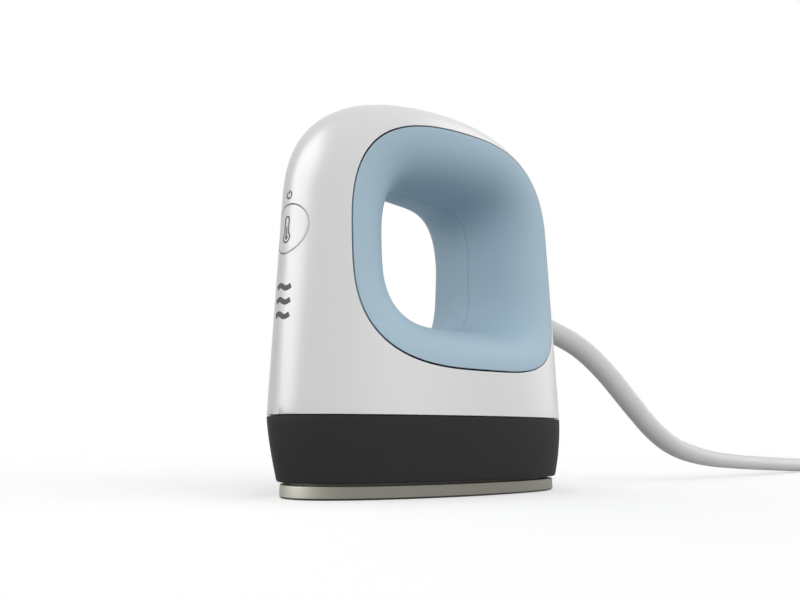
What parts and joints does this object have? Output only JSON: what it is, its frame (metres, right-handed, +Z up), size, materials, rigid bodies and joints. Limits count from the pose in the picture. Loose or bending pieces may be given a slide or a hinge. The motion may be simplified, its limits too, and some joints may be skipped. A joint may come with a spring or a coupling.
{
  "type": "mini handheld heat press",
  "caption": "Small upright heat press: white shell with a finger opening lined in blue, black skirt over a teardrop metal sole, nose button, rear cord with strain relief and plug.",
  "frame": {"origin": "middle of the resting face of the press, under the heat plate, halfway from nose to rear", "axes": "+Z up; -Y towards the nose with its button and lights; +Y towards the rear, where the cord leaves; +X to the right of someone who looks along +Y"},
  "size_m": [0.0582, 0.5304, 0.1095],
  "materials": {
    "white_plastic": "moulded white plastic, satin gloss",
    "blue_grip": "soft matt pale blue plastic",
    "black_plastic": "fine-textured black heat-resistant plastic",
    "plate_metal": "satin anodised, warm grey",
    "sheath_metal": "dull heat-darkened tube",
    "sheet_steel": "bright sheet",
    "zinc_steel": "zinc-plated screw",
    "brass": "plain brass blade",
    "felt": "ceramic fibre pad",
    "ceramic": "unglazed",
    "green_board": "glass-fibre circuit board",
    "clear_plastic": "clear moulding",
    "dark_part": "dark moulded component",
    "yellow_film": "film capacitor case",
    "blue_part": "dipped component",
    "lead_cover": "silicone-covered lead",
    "white_cord": "smooth white cord cover"
  },
  "bodies": {
    "housing": {"outer_shell": "white_plastic", "grip_left": "blue_grip", "grip_right": "blue_grip", "base_skirt": "black_plastic", "heat_plate": "plate_metal", "heating_element": "sheath_metal", "thermal_fuse": "sheet_steel", "thermal_fuse_clip": "sheet_steel", "thermistor": "ceramic", "thermistor_clip": "sheet_steel", "insulation_pad": "felt", "heat_shield": "sheet_steel", "standoff_nose": "ceramic", "standoff_left": "ceramic", "standoff_right": "ceramic", "plate_screw_nose": "zinc_steel", "plate_screw_left": "zinc_steel", "plate_screw_right": "zinc_steel", "tact_switch_body": "dark_part", "control_board": "green_board", "control_screw_low": "zinc_steel", "control_screw_high": "zinc_steel", "heat_low_led": "clear_plastic", "heat_mid_led": "clear_plastic", "heat_high_led": "clear_plastic", "power_led": "clear_plastic", "heat_light_guide": "clear_plastic", "power_light_guide": "clear_plastic", "power_board": "green_board", "board_screw_front_left": "zinc_steel", "board_screw_front_right": "zinc_steel", "board_screw_rear_left": "zinc_steel", "board_screw_rear_right": "zinc_steel", "film_capacitor": "yellow_film", "electrolytic_capacitor": "blue_part", "triac": "dark_part", "heat_sink": "sheet_steel", "varistor": "blue_part", "terminal_block": "dark_part", "mains_lead_live": "lead_cover", "mains_lead_neutral": "lead_cover", "heater_lead_left": "lead_cover", "heater_lead_right": "lead_cover", "board_cable": "lead_cover", "cord_boot": "white_cord", "power_cord": "white_cord", "cord_hank": "white_cord", "cord_tie": "black_plastic", "plug_body": "white_cord", "plug_blade_left": "brass", "plug_blade_right": "brass"},
    "button": {"mode_button": "white_plastic", "tact_switch_plunger": "white_plastic"}
  },
  "joints": [
    {"name": "button_press", "type": "slide", "parent": "housing", "child": "button", "axis": [0, 1, 0], "range_m": [0, 0.0006], "stiffness_N_per_m": 800}
  ]
}
